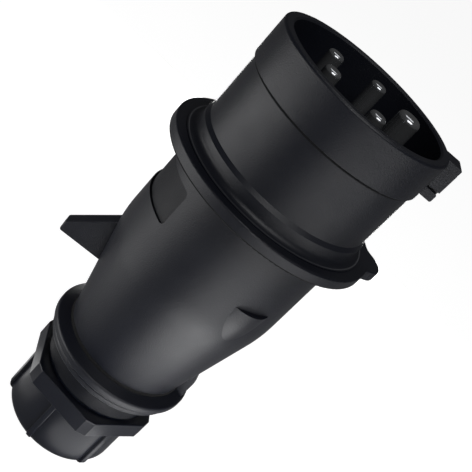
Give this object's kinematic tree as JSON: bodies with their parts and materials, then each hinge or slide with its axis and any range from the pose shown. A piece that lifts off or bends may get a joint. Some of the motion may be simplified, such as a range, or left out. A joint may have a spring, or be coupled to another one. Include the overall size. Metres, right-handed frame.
{
  "type": "industrial plug",
  "caption": "Straight pin-and-sleeve power plug: keyed round shroud around the contact pins, flanged joint, tapered handle and hexagonal cable gland nut.",
  "frame": {"origin": "centre of the gland nut's flat rear end, on which the plug stands", "axes": "+Z along the plug's axis from the gland nut to the open mouth, +X towards the key and the earth pin, -X towards the fin"},
  "size_m": [0.0754, 0.0674, 0.1463],
  "materials": {
    "black_housing": "fine satin moulded polyamide",
    "black_handle": "fine satin moulded polyamide",
    "black_nut": "satin moulded polyamide",
    "carrier_plastic": "matt glass-filled polyamide",
    "block_plastic": "matt glass-filled polyamide",
    "nickel_brass": "turned brass, nickel plated",
    "screw_steel": "zinc plated steel",
    "seal_rubber": "moulded rubber",
    "cage_plastic": "moulded polyamide",
    "ring_plastic": "smooth acetal"
  },
  "bodies": {
    "plug": {"front_housing": "black_housing", "handle": "black_handle", "contact_carrier": "carrier_plastic", "terminal_block": "block_plastic", "pin_pe": "nickel_brass", "pin_l1": "nickel_brass", "pin_l2": "nickel_brass", "pin_l3": "nickel_brass", "pin_n": "nickel_brass", "terminal_screws": "screw_steel", "block_screws": "screw_steel", "housing_seal": "seal_rubber", "sealing_bush": "seal_rubber", "clamp_cage": "cage_plastic"},
    "gland_slide": {"slip_ring": "ring_plastic"},
    "nut": {"gland_nut": "black_nut"}
  },
  "joints": [
    {"name": "gland_back_off", "type": "slide", "parent": "plug", "child": "gland_slide", "axis": [0, 0, -1], "range_m": [0, 0.01]},
    {"name": "nut_turn", "type": "hinge", "parent": "gland_slide", "child": "nut", "pos_m": [0, 0, 0.012], "axis": [0, 0, -1], "range_deg": [0, 1800]}
  ],
  "couplings": [
    {"joint": "gland_back_off", "follows": "nut_turn", "m_per_rad": 0.0003183}
  ]
}
